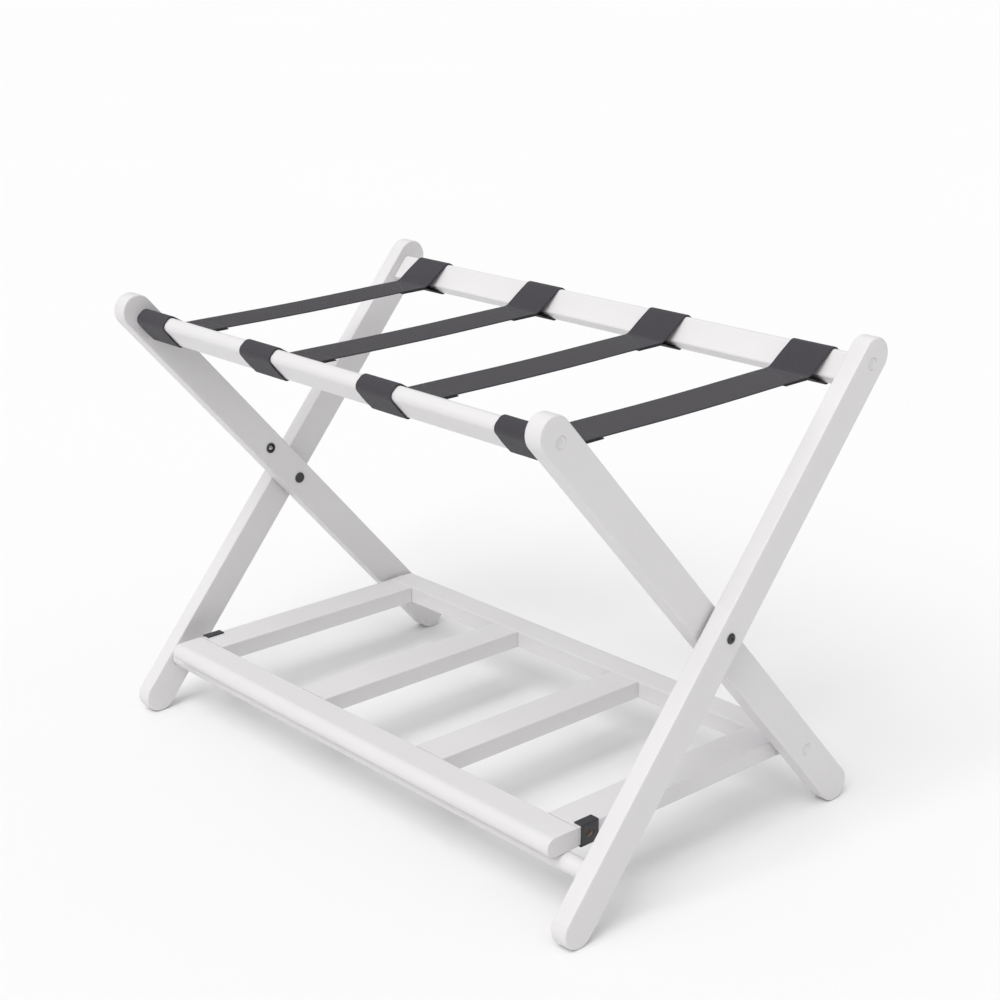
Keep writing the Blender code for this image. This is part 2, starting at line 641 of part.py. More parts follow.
def strap_half_path():
    """The strap's middle layer from its sewn end, once round the front rail, to mid-span.

    The strap's two layers come together a little way from the rail, level with its lower inner
    corner.  From there one runs straight to the rail's lower outer corner and the other to its
    upper edge.
    """
    layer = GAP + STRAP_THICKNESS / 2
    lean = degrees(LEAN)
    half = RAIL_THICKNESS / 2
    low = RAIL_LOWER_RADIUS
    top = RAIL_UPPER_RADIUS
    low_front = front_rail_point(-half + low, RAIL_BOTTOM + low)
    top_front = front_rail_point(-half + top, RAIL_TOP - top)
    top_back = front_rail_point(half - top, RAIL_TOP - top)

    level = front_rail_point(half + layer, RAIL_BOTTOM - layer)[1]
    offset = (STRAP_THICKNESS + GAP) / 2
    lower_join = (-STRAP_JOIN, level - offset)
    upper_join = (-STRAP_JOIN, level + offset)
    start = touching_angle(lower_join, low_front, low + layer, -1)
    end = touching_angle(upper_join, top_back, top + layer, 1)
    loop = (arc(low_front, low + layer, start, lean - 180, 4)
            + arc(top_front, top + layer, lean - 180, lean - 270, 6)
            + arc(top_back, top + layer, lean + 90, end, 6))

    sewn_end = (-LAP_END, lower_join[1])
    middle = (0.0, upper_join[1])
    return ([sewn_end] + soft_corner(sewn_end, lower_join, loop[0], STRAP_BEND) + loop
            + soft_corner(loop[-1], upper_join, middle, STRAP_BEND) + [middle])


def soft_corner(before, corner, after, size):
    """The corner between two straight runs, eased by a short curve."""
    into = Vector(before) - Vector(corner)
    out = Vector(after) - Vector(corner)
    start = Vector(corner) + into.normalized() * min(size, into.length * 0.8)
    end = Vector(corner) + out.normalized() * min(size, out.length * 0.8)
    middle = Vector(corner)
    steps = 5
    points = []
    for step in range(steps + 1):
        t = step / steps
        point = start * (1 - t) ** 2 + middle * 2 * t * (1 - t) + end * t ** 2
        points.append((point.x, point.y))
    return points


def strap_path():
    half = strap_half_path()
    return half + [(-y, z) for y, z in reversed(half[:-1])]


def band_outline(path, thickness):
    """The closed outline of a band of even thickness along a path."""
    left = []
    right = []
    for index, point in enumerate(path):
        before = Vector(path[max(index - 1, 0)])
        after = Vector(path[min(index + 1, len(path) - 1)])
        along = (after - before).normalized()
        across = Vector((-along.y, along.x)) * thickness / 2
        left.append(tuple(Vector(point) + across))
        right.append(tuple(Vector(point) - across))
    return left + list(reversed(right))


def add_straps():
    outline = band_outline(strap_path(), STRAP_THICKNESS)
    for number, centre in enumerate(STRAP_CENTRES, start=1):
        shape = prism(outline, "X", -STRAP_WIDTH / 2, STRAP_WIDTH / 2)
        strap = add_piece(f"strap_{number}", shape, None, GREY_WEBBING, 60.0)
        strap.location.x = centre


# ---------------------------------------------------------------- the rack

def build_rack():
    clear_scene()
    pivot = (0.0, 0.0, PIVOT_HEIGHT)
    outer_frame = add_axis("outer_frame", None, pivot, -LEAN)
    inner_frame = add_axis("inner_frame", None, pivot, LEAN)
    shelf = add_axis("shelf", inner_frame, (0.0, 0.0, -HINGE_BELOW_PIVOT), -LEAN - SHELF_TILT)

    add_outer_legs(outer_frame)
    add_top_rail("back_top_rail", INNER_FACE_OF_OUTER_LEG, outer_frame)
    add_round_rail(outer_frame)
    add_rail_fixings("outer", RACK_HALF_LENGTH, outer_frame)

    add_inner_legs(inner_frame)
    add_top_rail("front_top_rail", INNER_FACE_OF_INNER_LEG, inner_frame)
    add_rail_fixings("inner", OUTER_FACE_OF_INNER_LEG, inner_frame)
    add_catches(inner_frame)
    add_pivots(outer_frame, inner_frame)

    add_shelf_bars(shelf)
    add_shelf_cross_bars(shelf)
    add_shelf_hinges(shelf, inner_frame)
    add_strikes(shelf)
    add_straps()


build_rack()
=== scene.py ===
import json
from math import acos, atan2, ceil, cos, degrees, hypot, pi, radians, sin

import bmesh
import bpy
from mathutils import Matrix, Vector, noise

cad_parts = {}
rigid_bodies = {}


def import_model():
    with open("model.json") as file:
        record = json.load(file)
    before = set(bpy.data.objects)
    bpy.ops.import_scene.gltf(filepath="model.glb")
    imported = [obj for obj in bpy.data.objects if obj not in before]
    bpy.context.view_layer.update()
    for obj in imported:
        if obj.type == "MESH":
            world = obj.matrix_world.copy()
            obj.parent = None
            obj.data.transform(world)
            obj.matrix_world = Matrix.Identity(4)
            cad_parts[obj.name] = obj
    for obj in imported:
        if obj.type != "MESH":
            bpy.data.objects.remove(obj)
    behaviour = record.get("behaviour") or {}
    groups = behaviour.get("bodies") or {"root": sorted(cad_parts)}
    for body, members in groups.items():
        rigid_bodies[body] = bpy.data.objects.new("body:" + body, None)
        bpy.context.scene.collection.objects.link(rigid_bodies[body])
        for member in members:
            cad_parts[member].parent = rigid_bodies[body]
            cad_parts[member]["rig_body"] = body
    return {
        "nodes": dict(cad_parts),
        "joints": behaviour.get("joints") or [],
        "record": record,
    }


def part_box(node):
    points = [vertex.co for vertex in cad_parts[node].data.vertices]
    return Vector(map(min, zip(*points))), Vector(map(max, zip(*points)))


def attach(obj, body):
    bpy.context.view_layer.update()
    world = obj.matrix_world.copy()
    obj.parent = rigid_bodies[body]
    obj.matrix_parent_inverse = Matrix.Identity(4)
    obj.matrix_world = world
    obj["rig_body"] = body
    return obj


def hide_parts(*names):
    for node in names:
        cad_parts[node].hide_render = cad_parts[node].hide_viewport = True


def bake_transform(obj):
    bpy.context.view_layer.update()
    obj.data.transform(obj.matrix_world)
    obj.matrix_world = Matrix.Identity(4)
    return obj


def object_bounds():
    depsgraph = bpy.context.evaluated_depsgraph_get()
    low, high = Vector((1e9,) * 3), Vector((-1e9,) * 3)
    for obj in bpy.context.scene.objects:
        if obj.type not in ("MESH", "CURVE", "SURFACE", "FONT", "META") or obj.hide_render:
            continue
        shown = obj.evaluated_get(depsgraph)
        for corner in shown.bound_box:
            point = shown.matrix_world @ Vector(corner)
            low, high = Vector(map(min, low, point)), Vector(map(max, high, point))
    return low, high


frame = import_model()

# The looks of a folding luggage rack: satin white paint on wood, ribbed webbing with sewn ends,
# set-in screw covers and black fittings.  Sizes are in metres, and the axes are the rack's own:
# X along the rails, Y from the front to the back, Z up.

cad_low, cad_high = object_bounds()
record = frame["record"]
nodes = frame["nodes"]
joints = {joint["name"]: joint for joint in frame["joints"]}

# ---------------------------------------------------------------- sizes

SIDES = (("left", -1), ("right", 1))
GAP = 0.0003

_, pivot_y, pivot_z = joints["fold"]["pos_m"]
_, hinge_y, hinge_z = joints["shelf_fold"]["pos_m"]
LEAN = atan2(hinge_y - pivot_y, pivot_z - hinge_z)     # a leg's angle from the vertical

RAIL_THICKNESS = 0.015
RAIL_TOP = 0.2795             # fold axis to the top rail's upper edge, along the leg
RAIL_BOTTOM = 0.2495
RAIL_UPPER_RADIUS = 0.0055
RAIL_LOWER_RADIUS = 0.002

STRAP_THICKNESS = 0.0015
STRAP_WIDTH = 0.048
STRAP_JOIN = 0.1438           # middle of the rack to where a strap's two layers come together
STRAP_BEND = 0.004
STRAP_SAG = 0.0012
LAP_END = 0.112               # middle of the rack to a strap's sewn end
STITCH_LENGTH = 0.0026
STITCH_PITCH = 0.0034
STITCH_RADIUS = 0.00032
STITCH_INSET = 0.0035         # from a strap's edges to the seams
SEAM_NEAR_RAIL = 0.1385       # middle of the rack to the stitch row beside the rail

RIBS = 31                     # ribs across a band, between its two selvedges
RIB_EDGE = 0.0225             # middle of the band to the outermost ribs
RIB_PITCH = 2 * RIB_EDGE / RIBS
RIB_DEPTH = 0.17              # a groove's depth as a share of half the band's thickness
PICK_PITCH = 0.0011
LONGEST_STEP = 0.005          # along a band's straight runs
CUT_END_SHARE = 0.86          # a cut end's thickness as a share of the band's
CUT_END_STATIONS = 3          # path points at each cut end that are thinner
EDGE_WANDER = 0.0003          # how far a band drifts sideways along its length
RIPPLE = 0.00006              # height of the small waves in a band's surface
SIDE_SHIFT = 0.0004           # the most that a band sits to one side of its place
BOW_UNDER = 0.0003            # how far a band bows out between the rail and its seam
BOW_ROUND_RAIL = 0.0004

COVER_SEGMENTS = 40
COVER_RISE = 0.00085          # a cover's rim above the CAD cover's flat face
COVER_GROWTH = 0.0002         # added to the CAD cover's radius
COVER_DISH = 0.00115          # how much lower a cover's middle is than its rim
COVER_DISH_POWER = 3.5        # higher is flatter in the middle and steeper near the rim
COVER_EDGE = 0.0003           # radius of the rim's rounded edge

BOLT_HEAD_HEIGHT = 0.0014
SOCKET_DEPTH = 0.0010
SOCKET_WIDTH = 0.0029         # across the flats
SHANK_RADIUS = 0.0030

PAINTED_EDGE = 0.0006         # radius of the rounded edges of painted wood
FITTING_EDGE = 0.00015        # and of the small fittings

POCKET_RADIUS = 0.0042        # takes in the whole wall of the hole behind a strike plate
POCKET_DEPTH = 0.0045


# ---------------------------------------------------------------- node helpers

def new_material(name):
    """A material with only a Principled shader, and its node tree."""
    material = bpy.data.materials.new(name)
    material.use_nodes = True
    tree = material.node_tree
    return material, tree, tree.nodes["Principled BSDF"]


def set_inputs(node, **values):
    for name, value in values.items():
        node.inputs[name.replace("_", " ")].default_value = value


def add_math(tree, operation, first, second=None):
    node = tree.nodes.new("ShaderNodeMath")
    node.operation = operation
    for index, value in enumerate((first, second)):
        if value is None:
            continue
        if isinstance(value, (int, float)):
            node.inputs[index].default_value = value
        else:
            tree.links.new(value, node.inputs[index])
    return node.outputs[0]


def add_noise(tree, vector, scale, detail=2.0, roughness=0.5):
    node = tree.nodes.new("ShaderNodeTexNoise")
    set_inputs(node, Scale=scale, Detail=detail, Roughness=roughness)
    tree.links.new(vector, node.inputs["Vector"])
    return node.outputs["Fac"]


def add_range(tree, value, low, high, to_low=0.0, to_high=1.0):
    node = tree.nodes.new("ShaderNodeMapRange")
    node.clamp = True
    set_inputs(node, From_Min=low, From_Max=high, To_Min=to_low, To_Max=to_high)
    tree.links.new(value, node.inputs["Value"])
    return node.outputs["Result"]


def add_mix(tree, factor, first, second):
    """A colour between two colours, which are sockets or plain values."""
    node = tree.nodes.new("ShaderNodeMix")
    node.data_type = "RGBA"
    tree.links.new(factor, node.inputs["Factor"])
    for socket, value in ((node.inputs[6], first), (node.inputs[7], second)):
        if isinstance(value, tuple):
            socket.default_value = (*value, 1.0)
        else:
            tree.links.new(value, socket)
    return node.outputs[2]


def add_bump(tree, height, distance, strength, normal=None):
    node = tree.nodes.new("ShaderNodeBump")
    set_inputs(node, Distance=distance, Strength=strength)
    tree.links.new(height, node.inputs["Height"])
    if normal is not None:
        tree.links.new(normal, node.inputs["Normal"])
    return node.outputs["Normal"]


def add_coordinates(tree, rotation=(0.0, 0.0, 0.0), scale=(1.0, 1.0, 1.0)):
    """The piece's own coordinates in metres, turned and stretched."""
    place = tree.nodes.new("ShaderNodeTexCoord")
    mapping = tree.nodes.new("ShaderNodeMapping")
    set_inputs(mapping, Rotation=rotation, Scale=scale)
    tree.links.new(place.outputs["Object"], mapping.inputs["Vector"])
    return mapping.outputs["Vector"]


def add_edge_mask(tree, radius):
    """1 along a piece's edges and 0 on its faces, from how far the rounded normal turns."""
    rounded = tree.nodes.new("ShaderNodeBevel")
    rounded.samples = 6
    rounded.inputs["Radius"].default_value = radius
    surface = tree.nodes.new("ShaderNodeNewGeometry")
    dot = tree.nodes.new("ShaderNodeVectorMath")
    dot.operation = "DOT_PRODUCT"
    tree.links.new(rounded.outputs["Normal"], dot.inputs[0])
    tree.links.new(surface.outputs["Normal"], dot.inputs[1])
    return add_range(tree, dot.outputs["Value"], 0.995, 0.93)


# ---------------------------------------------------------------- materials

def add_pocket_mask(tree, place, node):
    """1 inside the hole drilled in the wood behind a strike plate's hole."""
    low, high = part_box(node)
    centre = (low + high) / 2
    shelf_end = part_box("shelf_end_right")[1].x
    split = tree.nodes.new("ShaderNodeSeparateXYZ")
    tree.links.new(place, split.inputs[0])
    squares = []
    for output, value in ((split.outputs[1], centre.y), (split.outputs[2], centre.z)):
        squares.append(add_math(tree, "POWER", add_math(tree, "SUBTRACT", output, value), 2.0))
    distance = add_math(tree, "SQRT", add_math(tree, "ADD", *squares))
    near = add_math(tree, "LESS_THAN", distance, POCKET_RADIUS)
    outwards = add_math(tree, "ABSOLUTE", split.outputs[0])
    below = add_math(tree, "LESS_THAN", outwards, shelf_end - 0.00015)
    above = add_math(tree, "GREATER_THAN", outwards, shelf_end - POCKET_DEPTH)
    return add_math(tree, "MULTIPLY", near, add_math(tree, "MULTIPLY", below, above))


def painted_wood(name, turn, along, pocket=None):
    """Satin white paint.  The grain under it runs along one axis after a turn about X."""
    material, tree, shader = new_material(name)
    stretch = {"X": (9.0, 240.0, 240.0), "Y": (240.0, 9.0, 240.0), "Z": (240.0, 240.0, 9.0)}
    grain_place = add_coordinates(tree, rotation=(turn, 0.0, 0.0), scale=stretch[along])
    place = add_coordinates(tree)

    grain = add_noise(tree, grain_place, 1.0, 5.0, 0.62)
    pores = add_range(tree, add_noise(tree, grain_place, 3.1, 2.0, 0.5), 0.56, 0.72)
    clouds = add_noise(tree, place, 14.0, 3.0, 0.55)
    peel = add_noise(tree, place, 620.0, 2.0, 0.45)
    edges = add_edge_mask(tree, 0.0014)
    patches = add_range(tree, add_noise(tree, place, 46.0, 4.0, 0.6), 0.44, 0.66)
    rubbed = add_math(tree, "MULTIPLY", edges, patches)

    colour = add_mix(tree, clouds, (0.745, 0.732, 0.740), (0.780, 0.768, 0.777))
    colour = add_mix(tree, add_math(tree, "MULTIPLY", pores, 0.35), colour, (0.725, 0.708, 0.700))
    colour = add_mix(tree, add_math(tree, "MULTIPLY", rubbed, 0.4), colour, (0.69, 0.665, 0.635))
    if pocket is not None:
        bare = add_mix(tree, grain, (0.36, 0.285, 0.225), (0.56, 0.45, 0.36))
        colour = add_mix(tree, add_pocket_mask(tree, place, pocket), colour, bare)
    tree.links.new(colour, shader.inputs["Base Color"])

    rough = add_range(tree, add_noise(tree, place, 90.0, 3.0, 0.6), 0.3, 0.7, 0.36, 0.48)
    rough = add_math(tree, "ADD", rough, add_math(tree, "MULTIPLY", rubbed, 0.12))
    tree.links.new(rough, shader.inputs["Roughness"])

    normal = add_bump(tree, grain, 0.00012, 0.30)
    normal = add_bump(tree, pores, 0.00005, -0.35, normal)
    normal = add_bump(tree, peel, 0.00003, 0.5, normal)
    tree.links.new(normal, shader.inputs["Normal"])
    return material


def bare_hardwood():
    material, tree, shader = new_material("bare_hardwood")
    place = add_coordinates(tree, scale=(14.0, 420.0, 420.0))
    grain = add_noise(tree, place, 1.0, 5.0, 0.6)
    tree.links.new(add_mix(tree, grain, (0.62, 0.44, 0.27), (0.78, 0.60, 0.40)),
                   shader.inputs["Base Color"])
    tree.links.new(add_range(tree, grain, 0.3, 0.7, 0.5, 0.68), shader.inputs["Roughness"])
    tree.links.new(add_bump(tree, grain, 0.0001, 0.4), shader.inputs["Normal"])
    return material


def moulded_plastic(name, dark, light, roughness):
    """Moulded plastic with a fine spark-eroded skin and a little cloudiness."""
    material, tree, shader = new_material(name)
    place = add_coordinates(tree)
    clouds = add_noise(tree, place, 160.0, 3.0, 0.55)
    skin = add_noise(tree, place, 2600.0, 2.0, 0.5)
    tree.links.new(add_mix(tree, clouds, dark, light), shader.inputs["Base Color"])
    tree.links.new(add_range(tree, clouds, 0.3, 0.7, roughness - 0.05, roughness + 0.07),
                   shader.inputs["Roughness"])
    tree.links.new(add_bump(tree, skin, 0.00001, 0.5), shader.inputs["Normal"])
    return material


def coated_steel():
    """Black coated steel, with a fine texture and a little bare metal on its edges."""
    material, tree, shader = new_material("black_coated_steel")
    place = add_coordinates(tree)
    skin = add_noise(tree, place, 1500.0, 3.0, 0.6)
    clouds = add_noise(tree, place, 120.0, 3.0, 0.6)
    edges = add_edge_mask(tree, 0.0005)
    scuffs = add_range(tree, add_noise(tree, place, 420.0, 4.0, 0.65), 0.52, 0.68)
    worn = add_math(tree, "MULTIPLY", edges, scuffs)
    colour = add_mix(tree, clouds, (0.020, 0.020, 0.023), (0.036, 0.036, 0.041))
    colour = add_mix(tree, add_math(tree, "MULTIPLY", worn, 0.6), colour, (0.26, 0.26, 0.27))
    tree.links.new(colour, shader.inputs["Base Color"])
    rough = add_range(tree, clouds, 0.3, 0.7, 0.34, 0.50)
    tree.links.new(add_math(tree, "SUBTRACT", rough, add_math(tree, "MULTIPLY", worn, 0.08)),
                   shader.inputs["Roughness"])
    tree.links.new(add_bump(tree, skin, 0.00002, 0.5), shader.inputs["Normal"])
    return material


def bare_metal(name, dark, light, low, high):
    """Plated or polished steel, with faint turning marks about X."""
    material, tree, shader = new_material(name)
    marks_place = add_coordinates(tree, scale=(5200.0, 160.0, 160.0))
    place = add_coordinates(tree)
    marks = add_noise(tree, marks_place, 1.0, 2.0, 0.5)
    clouds = add_noise(tree, place, 260.0, 3.0, 0.6)
    shader.inputs["Metallic"].default_value = 1.0
    tree.links.new(add_mix(tree, clouds, dark, light), shader.inputs["Base Color"])
    tree.links.new(add_range(tree, clouds, 0.3, 0.7, low, high), shader.inputs["Roughness"])
    tree.links.new(add_bump(tree, marks, 0.000008, 0.3), shader.inputs["Normal"])
    return material


def ribbed_webbing():
    """Dark grey webbing.  Its UV map is in metres: U across the band and V along it.

    Ribs run along the band.  Each rib's picks are half a step out from its neighbours', and
    every second rib is a little darker.
    """
    material, tree, shader = new_material("ribbed_webbing")
    uv = tree.nodes.new("ShaderNodeUVMap")
    uv.uv_map = "band"
    split = tree.nodes.new("ShaderNodeSeparateXYZ")
    tree.links.new(uv.outputs["UV"], split.inputs[0])
    across, along = split.outputs[0], split.outputs[1]

    ribs = add_math(tree, "DIVIDE", add_math(tree, "ADD", across, RIB_EDGE), RIB_PITCH)
    rib_angle = add_math(tree, "MULTIPLY", ribs, pi)
    rib_wave = add_math(tree, "SINE", rib_angle)
    rib_height = add_math(tree, "ABSOLUTE", rib_wave)
    half_step = add_math(tree, "MULTIPLY", add_math(tree, "FLOOR", ribs), pi / 2)
    pick_angle = add_math(tree, "MULTIPLY", along, pi / PICK_PITCH)
    picks = add_math(tree, "ABSOLUTE",
                     add_math(tree, "SINE", add_math(tree, "ADD", pick_angle, half_step)))
    # The weave's relief, for roughness and bump; as a colour factor it paints shade into the
    # grooves
    weave_and_groove_shade = add_math(tree, "ADD", add_math(tree, "MULTIPLY", rib_height, 0.62),
                     add_math(tree, "MULTIPLY", picks, 0.38))

    stretched = tree.nodes.new("ShaderNodeMapping")
    set_inputs(stretched, Scale=(5200.0, 420.0, 1.0))
    tree.links.new(uv.outputs["UV"], stretched.inputs["Vector"])
    fibres = add_noise(tree, stretched.outputs["Vector"], 1.0, 3.0, 0.6)
    clouds = add_noise(tree, uv.outputs["UV"], 38.0, 4.0, 0.6)
    selvedge = add_range(tree, add_math(tree, "ABSOLUTE", across), 0.0212, 0.0230)

    # Painted shade: the colour goes near black in the grooves between ribs and between picks,
    # where the relief would be in shade
    colour = add_mix(tree, weave_and_groove_shade, (0.006, 0.0055, 0.0075), (0.077, 0.071, 0.082))
    colour = add_mix(tree, add_range(tree, rib_wave, -1.0, 1.0, 0.0, 0.42), colour,
                     (0.012, 0.011, 0.014))
    colour = add_mix(tree, add_range(tree, fibres, 0.40, 0.78, 0.0, 0.45), colour,
                     (0.088, 0.082, 0.096))
    colour = add_mix(tree, add_range(tree, clouds, 0.35, 0.7, 0.0, 0.25), colour,
                     (0.038, 0.036, 0.041))
    colour = add_mix(tree, add_math(tree, "MULTIPLY", selvedge, 0.3), colour,
                     (0.036, 0.034, 0.040))
    tree.links.new(colour, shader.inputs["Base Color"])
    tree.links.new(add_range(tree, weave_and_groove_shade, 0.0, 1.0, 0.92, 0.70), shader.inputs["Roughness"])
    shader.inputs["Sheen Weight"].default_value = 0.22
    shader.inputs["Sheen Roughness"].default_value = 0.42
    shader.inputs["Specular IOR Level"].default_value = 0.28

    normal = add_bump(tree, weave_and_groove_shade, 0.00022, 0.85)
    normal = add_bump(tree, fibres, 0.00006, 0.5, normal)
    tree.links.new(normal, shader.inputs["Normal"])
    return material


def sewing_thread():
    material, tree, shader = new_material("sewing_thread")
    place = add_coordinates(tree)
    clouds = add_noise(tree, place, 700.0, 2.0, 0.5)
    twist = add_noise(tree, add_coordinates(tree, rotation=(0.0, 0.0, 0.7),
                                            scale=(6200.0, 900.0, 900.0)), 1.0, 1.0)
    tree.links.new(add_mix(tree, clouds, (0.060, 0.060, 0.064), (0.115, 0.115, 0.122)),
                   shader.inputs["Base Color"])
    tree.links.new(add_range(tree, clouds, 0.3, 0.7, 0.5, 0.64), shader.inputs["Roughness"])
    tree.links.new(add_bump(tree, twist, 0.00004, 0.6), shader.inputs["Normal"])
    shader.inputs["Sheen Weight"].default_value = 0.2
    return material


PAINT = {
    "rails": painted_wood("white_paint_rails", 0.0, "X"),
    "slats": painted_wood("white_paint_slats", 0.0, "Y"),
    "ends": painted_wood("white_paint_shelf_ends", 0.0, "Y", "shelf_strike_right"),
    "inner": painted_wood("white_paint_inner_legs", -LEAN, "Z"),
    "outer": painted_wood("white_paint_outer_legs", LEAN, "Z"),
}
WHITE_PLASTIC = moulded_plastic("white_moulded_plastic", (0.715, 0.705, 0.708),
                                (0.765, 0.755, 0.758), 0.34)
BLACK_STEEL = coated_steel()
WEBBING = ribbed_webbing()
THREAD = sewing_thread()
BY_SLOT = {
    "beech_pin": bare_hardwood(),
    "white_plastic": WHITE_PLASTIC,
    "black_steel": BLACK_STEEL,
    "zinc_steel": bare_metal("zinc_plated_steel", (0.52, 0.53, 0.54), (0.66, 0.66, 0.67),
                             0.28, 0.42),
    "polished_steel": bare_metal("polished_steel", (0.42, 0.42, 0.43), (0.52, 0.52, 0.53),
                                 0.06, 0.12),
    "black_nylon": moulded_plastic("black_moulded_nylon", (0.032, 0.032, 0.034),
                                   (0.052, 0.052, 0.054), 0.48),
}


def paint_for(node):
    if node.startswith("inner_leg"):
        return PAINT["inner"]
    if node.startswith("outer_leg"):
        return PAINT["outer"]
    if node.startswith("shelf_end"):
        return PAINT["ends"]
    if node.startswith("shelf_slat"):
        return PAINT["slats"]
    return PAINT["rails"]


def clean_shading(item, edge_radius):
    """Welds a CAD node's faces together and rounds its sharp edges, by modifiers only."""
    mesh = item.data
    for name in ("custom_normal", "sharp_edge", "sharp_face"):
        if name in mesh.attributes:
            mesh.attributes.remove(mesh.attributes[name])
    mesh.shade_smooth()
    weld = item.modifiers.new("weld", "WELD")
    weld.merge_threshold = 0.00001
    edges = item.modifiers.new("round edges", "BEVEL")
    edges.width = edge_radius
    edges.segments = 2
    edges.limit_method = "ANGLE"
    edges.angle_limit = radians(34.0)
    normals = item.modifiers.new("even shading", "WEIGHTED_NORMAL")
    normals.keep_sharp = False
    normals.weight = 60


def finish_cad_nodes():
    slots = {part["node"]: part["material_slot"] for part in record["subparts"]}
    for name, item in nodes.items():
        slot = slots[name]
        if slot == "grey_webbing":
            continue
        if slot == "white_painted_wood":
            material = paint_for(name)
            clean_shading(item, PAINTED_EDGE)
        else:
            material = BY_SLOT[slot]
            clean_shading(item, FITTING_EDGE)
        for material_slot in item.material_slots:
            material_slot.material = material


# ---------------------------------------------------------------- mesh helpers

def add_mesh(name, points, faces, material, smooth_below=None):
    mesh = bpy.data.meshes.new(name)
    mesh.from_pydata(points, [], faces)
    work = bmesh.new()
    work.from_mesh(mesh)
    bmesh.ops.recalc_face_normals(work, faces=work.faces)
    work.to_mesh(mesh)
    work.free()
    mesh.shade_smooth()
    if smooth_below is not None:
        mesh.set_sharp_from_angle(angle=radians(smooth_below))
    mesh.materials.append(material)
    item = bpy.data.objects.new(name, mesh)
    bpy.context.scene.collection.objects.link(item)
    return item


def round_ring(radius):
    return lambda angle: radius


def hexagon_ring(across_flats):
    """Radius of a hexagon's outline at an angle."""
    def radius(angle):
        turn = (angle % (pi / 3)) - pi / 6
        return across_flats / 2 / cos(turn)
    return radius


def loft_about_x(rings, centre, segments):
    """Points and faces of a solid from (x, outline) rings about an X axis.

    An outline gives a radius at each angle.  An outline of None is a point on the axis.
    """
    points = []
    loops = []
    for x, outline in rings:
        if outline is None:
            loops.append([len(points)])
            points.append((x, centre[0], centre[1]))
            continue
        loops.append(list(range(len(points), len(points) + segments)))
        for step in range(segments):
            angle = 2 * pi * step / segments
            radius = outline(angle)
            points.append((x, centre[0] + radius * cos(angle), centre[1] + radius * sin(angle)))
    faces = []
    for first, second in zip(loops, loops[1:]):
        for step in range(segments):
            after = (step + 1) % segments
            corners = [first[step % len(first)], first[after % len(first)],
                       second[after % len(second)], second[step % len(second)]]
            faces.append(tuple(dict.fromkeys(corners)))
    return points, faces


def middle_of(node):
    low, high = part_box(node)
    return (low + high) / 2


# ---------------------------------------------------------------- fittings

def add_screw_covers():
    """Dished covers with rounded rims, one for each CAD cover."""
    for node in sorted(nodes):
        if "_cover_" not in node:
            continue
        low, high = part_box(node)
        middle = (low + high) / 2
        side = 1 if low.x > 0 else -1
        base, top = (low.x, high.x) if side > 0 else (-high.x, -low.x)
        rim = top + COVER_RISE
        radius = (high.y - low.y) / 2 + COVER_GROWTH
        profile = [(base, None), (base, radius)]
        edge_steps = 4
        for step in range(edge_steps + 1):
            angle = pi / 2 * step / edge_steps
            profile.append((rim - COVER_EDGE * (1 - sin(angle)),
                            radius - COVER_EDGE * (1 - cos(angle))))
        dish_steps = 10
        for step in range(1, dish_steps + 1):
            share = step / dish_steps
            reach = (radius - COVER_EDGE) * (1 - share)
            depth = COVER_DISH * (1 - (1 - share) ** COVER_DISH_POWER)
            profile.append((rim - depth, reach or None))
        rings = [(side * x, reach and round_ring(reach)) for x, reach in profile]
        points, faces = loft_about_x(rings, (middle.y, middle.z), COVER_SEGMENTS)
        cover = add_mesh(node + "_dished", points, faces, WHITE_PLASTIC, 50.0)
        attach(cover, nodes[node]["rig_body"])
        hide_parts(node)


def add_pivot_bolts():
    """Bolts with a hexagon socket in a low rounded head."""
    for word, side in SIDES:
        node = f"pivot_bolt_{word}"
        low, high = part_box(node)
        top = high.x if side > 0 else -low.x
        end = low.x if side > 0 else -high.x
        middle = (low + high) / 2
        base = top - BOLT_HEAD_HEIGHT
        socket = top - SOCKET_DEPTH
        profile = [(socket, None), (socket, hexagon_ring(SOCKET_WIDTH)),
                   (top - 0.0001, hexagon_ring(0.0030)), (top, hexagon_ring(0.0032)),
                   (top, round_ring(0.0027)), (top - 0.00008, round_ring(0.0032)),
                   (top - 0.0003, round_ring(0.0039)), (top - 0.0006, round_ring(0.0045)),
                   (top - 0.0010, round_ring(0.0049)), (base + 0.0001, round_ring(0.0050)),
                   (base, round_ring(0.0049)), (base, round_ring(SHANK_RADIUS)),
                   (end + 0.0004, round_ring(SHANK_RADIUS)), (end, round_ring(0.0026)),
                   (end, None)]
        rings = [(side * x, outline) for x, outline in profile]
        points, faces = loft_about_x(rings, (middle.y, middle.z), 48)
        bolt = add_mesh(node + "_socket_head", points, faces, BLACK_STEEL, 40.0)
        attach(bolt, "outer_frame")
        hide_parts(node)


def add_catch_balls():
    for word, side in SIDES:
        node = f"catch_ball_{word}"
        low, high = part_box(node)
        middle = (low + high) / 2
        radius = (high.x - low.x) / 2
        steps = 18
        rings = []
        for step in range(steps + 1):
            angle = pi * step / steps
            outline = None if step in (0, steps) else round_ring(radius * sin(angle))
            rings.append((middle.x - side * radius * cos(angle), outline))
        points, faces = loft_about_x(rings, (middle.y, middle.z), 36)
        ball = add_mesh(node + "_polished", points, faces, BY_SLOT["polished_steel"])
        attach(ball, "inner_frame")
        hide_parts(node)


# ---------------------------------------------------------------- straps

def rail_point(across, height):
    """A point of the front top rail's section, in the rack's own Y and Z."""
    return Vector((pivot_y + across * cos(LEAN) - height * sin(LEAN),
                   pivot_z + across * sin(LEAN) + height * cos(LEAN)))


def arc(centre, radius, start, end, steps):
    angles = [radians(start + (end - start) * step / steps) for step in range(steps + 1)]
    return [Vector((centre[0] + radius * cos(a), centre[1] + radius * sin(a))) for a in angles]


